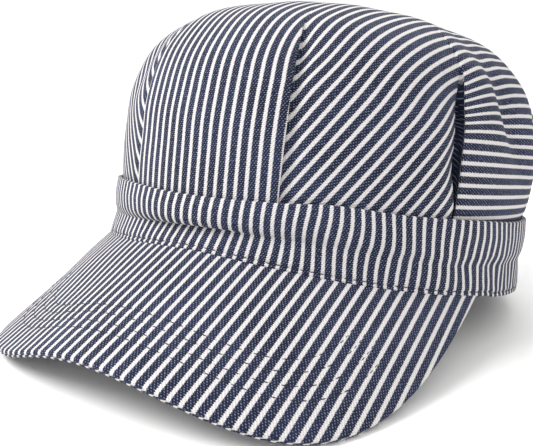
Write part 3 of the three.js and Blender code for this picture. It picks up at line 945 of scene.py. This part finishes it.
def stripe_denim(name, phase, reverse=False):
    """Hickory-stripe denim: a warp-faced twill of indigo and undyed warp over a pale weft. To the
    eye it gives off-white stripes with toothed edges on navy that is flecked along the twill. The
    threads are drawn about twice as coarse as real ones, as the photograph shows them."""
    c = cloth()
    material, tree = new_tree(name)
    uv = add_node(tree, "UVMap", {}, uv_map="cloth")[0]
    flat = add_node(tree, "VectorMath", {0: uv, "Scale": 1 / MM}, operation="SCALE")[0]
    split = add_node(tree, "SeparateXYZ", {0: flat})
    across, along = split["X"], split["Y"]
    # Unevenness of single threads is about 1 mm long, and wear about 25 mm.
    fuzz = add_node(tree, "TexNoise", {"Vector": flat, "Scale": 1.0, "Detail": 2.0})[0]
    place = add_node(tree, "TexCoord", {})["Object"]
    wear = add_node(tree, "TexNoise", {"Vector": place, "Scale": 38.0, "Detail": 3.0})[0]

    # The rows of weft, and the twill lines, which climb to the right of the warp.
    weft = add_node(tree, "Math", {0: along, 1: 2 * math.pi / c.weft_gap}, operation="MULTIPLY")[0]
    weft = add_node(tree, "Math", {0: weft}, operation="COSINE")[0]
    line_across = 2 * math.pi * math.cos(c.twill_turn) / c.twill_gap
    line_along = -2 * math.pi * math.sin(c.twill_turn) / c.twill_gap
    line = add_node(tree, "Math", {0: across, 1: line_across}, operation="MULTIPLY")[0]
    line = add_node(tree, "Math", {0: along, 1: line_along, 2: line}, operation="MULTIPLY_ADD")[0]
    line = add_node(tree, "Math", {0: line}, operation="COSINE")[0]
    relief = add_node(tree, "Math", {0: weft, 1: 0.8, 2: line}, operation="MULTIPLY_ADD")[0]

    # The stripes: the weft moves their edges by a tooth, and the threads' unevenness moves them too.
    moved = add_node(tree, "Math", {0: weft, 1: 0.12, 2: across}, operation="MULTIPLY_ADD")[0]
    moved = add_node(tree, "Math", {0: fuzz, 1: 0.4, 2: moved}, operation="MULTIPLY_ADD")[0]
    turn = add_node(tree, "Math", {0: moved, 1: 1 / c.stripe_pitch, 2: phase}, operation="MULTIPLY_ADD")[0]
    turn = add_node(tree, "Math", {0: turn}, operation="FRACT")[0]
    from_middle = add_node(tree, "Math", {0: turn, 1: 0.5}, operation="SUBTRACT")[0]
    from_middle = add_node(tree, "Math", {0: from_middle}, operation="ABSOLUTE")[0]
    half, soft = c.stripe_width / 2 / c.stripe_pitch, 0.1 / c.stripe_pitch
    stripe = add_node(
        tree, "MapRange", {"Value": from_middle, "From Min": half + soft, "From Max": half - soft},
        interpolation_type="SMOOTHSTEP")[0]

    # Navy, worn in places, with a fleck of weft on each twill line.
    worn = add_node(tree, "MapRange", {"Value": wear, "From Min": 0.35, "From Max": 0.65})[0]
    navy = add_node(tree, "Mix", {0: worn, 6: c.navy_deep, 7: c.navy}, data_type="RGBA")[2]
    uneven = add_node(tree, "Math", {0: fuzz, 1: 3.2, 2: relief}, operation="MULTIPLY_ADD")[0]
    fleck = add_node(
        tree, "MapRange", {"Value": uneven, "From Min": 2.3, "From Max": 3.2, "To Max": 0.95},
        interpolation_type="SMOOTHSTEP")[0]
    dark = add_node(tree, "Mix", {0: fleck, 6: navy, 7: c.fleck}, data_type="RGBA")[2]

    # White, with painted shade between its ridges.
    shade_in_hollows = add_node(
        tree, "MapRange", {"Value": relief, "From Min": 0.0, "From Max": -1.5, "To Max": 0.6})[0]
    light = add_node(tree, "Mix", {0: shade_in_hollows, 6: c.white, 7: c.white_painted_shade_and_weft}, data_type="RGBA")[2]
    colour = add_node(tree, "Mix", {0: stripe, 6: dark, 7: light}, data_type="RGBA")[2]
    if reverse:
        # The back of the cloth shows mostly weft.
        colour = add_node(tree, "Mix", {0: 0.55, 6: colour, 7: c.white_painted_shade_and_weft}, data_type="RGBA")[2]

    height = add_node(tree, "Math", {0: stripe, 1: 0.6, 2: relief}, operation="MULTIPLY_ADD")[0]
    height = add_node(tree, "Math", {0: fuzz, 1: 1.5, 2: height}, operation="MULTIPLY_ADD")[0]
    bump = add_node(tree, "Bump", {"Height": height, "Strength": 0.5, "Distance": 0.1 * MM})[0]
    shader = add_node(tree, "BsdfPrincipled", {
        "Base Color": colour, "Normal": bump, "Roughness": 0.9, "Specular IOR Level": 0.2,
        "Sheen Weight": 0.05, "Sheen Roughness": 0.5})[0]
    add_node(tree, "OutputMaterial", {0: shader})
    return material


def sewing_thread(name):
    """Spun polyester thread, twisted and dyed dark: small, round, a little shiny. Its twist is
    about 0.5 mm long."""
    c = cloth()
    material, tree = new_tree(name)
    place = add_node(tree, "TexCoord", {})["Object"]
    twist = add_node(tree, "TexNoise", {"Vector": place, "Scale": 2200.0, "Detail": 1.0})[0]
    tint = add_node(tree, "Mix", {0: twist, 6: c.thread_dark, 7: c.navy_deep}, data_type="RGBA")[2]
    shader = add_node(tree, "BsdfPrincipled", {"Base Color": tint, "Roughness": 0.6})[0]
    add_node(tree, "OutputMaterial", {0: shader})
    return material


def painted_board(name):
    """Matt painted board for the floor: plain and pale."""
    material, tree = new_tree(name)
    shader = add_node(tree, "BsdfPrincipled", {"Base Color": cloth().floor, "Roughness": 0.8})[0]
    add_node(tree, "OutputMaterial", {0: shader})
    return material


def carried(piece, slot, *nodes):
    """Puts a piece on the body and hides the frame's nodes that it stands for. slot is not used."""
    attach(piece, "root")
    if nodes:
        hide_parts(*nodes)


class CAP_OT_crown(Operator):
    """Make the pleated crown"""

    bl_idname = "cap.crown"
    bl_label = "Crown"

    def execute(self, context):
        points, faces, uv, slots = crown_mesh()
        denim = stripe_denim("crown_hickory_denim", CROWN_PHASE)
        back = stripe_denim("crown_denim_reverse", CROWN_PHASE, True)
        cloth_piece = make_mesh("crown_cloth", points, faces, uv, slots, (denim, back))
        carried(cloth_piece, "crown_denim", "crown")
        return {"FINISHED"}


class CAP_OT_band(Operator):
    """Make the creased band and its topstitch"""

    bl_idname = "cap.band"
    bl_label = "Band"

    def execute(self, context):
        points, quads, uv, slots = band_mesh()
        denim = stripe_denim("band_hickory_denim", BAND_PHASE)
        back = stripe_denim("band_denim_reverse", BAND_PHASE, True)
        cloth_piece = make_mesh("band_cloth", points, [quads], uv, slots, (denim, back))
        carried(cloth_piece, "band_denim", "band")
        points, faces = join_parts(band_stitches())
        thread = sewing_thread("band_thread")
        carried(make_mesh("band_topstitch", seat(points), faces, materials=(thread,)), "band_denim")
        return {"FINISHED"}


class CAP_OT_visor(Operator):
    """Make the curved visor and its quilting"""

    bl_idname = "cap.visor"
    bl_label = "Visor"

    def execute(self, context):
        points, faces, uv = visor_mesh()
        denim = stripe_denim("visor_hickory_denim", VISOR_PHASE)
        cloth_piece = make_mesh("visor_cloth", points, faces, uv, None, (denim,))
        carried(cloth_piece, "visor_denim", "visor")
        points, faces = join_parts(visor_stitches())
        thread = sewing_thread("visor_thread")
        carried(make_mesh("visor_quilting", seat(points), faces, materials=(thread,)), "visor_denim")
        return {"FINISHED"}


def camera_matrix():
    """The camera's place and axes in the shared frame: its right and up are turned by the roll about
    the way it looks back, then leant with the cap."""
    azimuth, elevation, roll = (math.radians(CAMERA[key]) for key in ("azimuth", "elevation", "roll"))
    right = np.array([math.cos(azimuth), math.sin(azimuth), 0.0])
    level_back = np.array([math.sin(azimuth), -math.cos(azimuth), 0.0])
    up = np.array([0.0, 0.0, 1.0]) * math.cos(elevation) - level_back * math.sin(elevation)
    back = level_back * math.cos(elevation) + np.array([0.0, 0.0, math.sin(elevation)])
    place = right * CAMERA["aside"] + np.array([0.0, 0.0, CAMERA["above"]]) + back * CAMERA["distance"]
    turned_right = right * math.cos(roll) + up * math.sin(roll)
    turned_up = up * math.cos(roll) - right * math.sin(roll)
    axes = lean_back(np.stack([turned_right, turned_up, back]))
    return Matrix.Translation((lean_back(place) + seat_shift()) * MM) @ Matrix(axes.T.tolist()).to_4x4()


class CAP_OT_stage(Operator):
    """Make the floor, the lights and the camera"""

    bl_idname = "cap.stage"
    bl_label = "Stage"

    def execute(self, context):
        around = ((-1, -1), (1, -1), (1, 1), (-1, 1))
        corners = np.array([(FLOOR_REACH * x, FLOOR_REACH * y, -FLOOR_DROP) for x, y in around])
        paint = painted_board("floor_paint")
        make_mesh("floor", corners, [np.array([[0, 1, 2, 3]])], materials=(paint,))
        scene = context.scene
        scene.world = bpy.data.worlds.new("studio")
        scene.world.use_nodes = True
        background = scene.world.node_tree.nodes["Background"]
        background.inputs["Color"].default_value = (1.0, 1.0, 1.0, 1.0)
        background.inputs["Strength"].default_value = SKY_STRENGTH
        target = Vector(LAMP_TARGET)
        for name, place, size, power in LAMPS:
            data = bpy.data.lights.new(name, "AREA")
            data.shape = "DISK"
            data.size = size
            data.energy = power
            lamp = bpy.data.objects.new(name, data)
            lamp.location = place
            lamp.rotation_euler = (Vector(place) - target).to_track_quat("Z", "Y").to_euler()
            scene.collection.objects.link(lamp)
        data = bpy.data.cameras.new("camera")
        data.lens = CAMERA["lens"]
        data.sensor_width = 36.0
        data.clip_start = 0.01
        scene.camera = bpy.data.objects.new("camera", data)
        scene.camera.matrix_world = camera_matrix()
        scene.collection.objects.link(scene.camera)
        scene.view_settings.view_transform = "Standard"
        return {"FINISHED"}


STEPS = (CAP_OT_stage, CAP_OT_crown, CAP_OT_band, CAP_OT_visor)


class CAP_PT_panel(Panel):
    """The sidebar's list of the cap's steps and sizes"""

    bl_idname = "CAP_PT_panel"
    bl_label = "Engineer Cap"
    bl_space_type = "VIEW_3D"
    bl_region_type = "UI"
    bl_category = "Engineer Cap"

    def draw(self, context):
        column = self.layout.column()
        for step in STEPS:
            column.operator(step.bl_idname)
        for group in (context.scene.cap_sizes, context.scene.cap_cloth):
            for key in group.bl_rna.properties.keys():
                if key not in ("rna_type", "name"):
                    column.prop(group, key)


CLASSES = (CapSizes, CapCloth, *STEPS, CAP_PT_panel)


def register():
    for item in CLASSES:
        bpy.utils.register_class(item)
    bpy.types.Scene.cap_sizes = PointerProperty(type=CapSizes)
    bpy.types.Scene.cap_cloth = PointerProperty(type=CapCloth)


def unregister():
    del bpy.types.Scene.cap_cloth
    del bpy.types.Scene.cap_sizes
    for item in reversed(CLASSES):
        bpy.utils.unregister_class(item)


def main():
    register()
    bpy.ops.cap.stage()
    bpy.ops.cap.crown()
    bpy.ops.cap.band()
    bpy.ops.cap.visor()


if __name__ == "__main__":
    main()
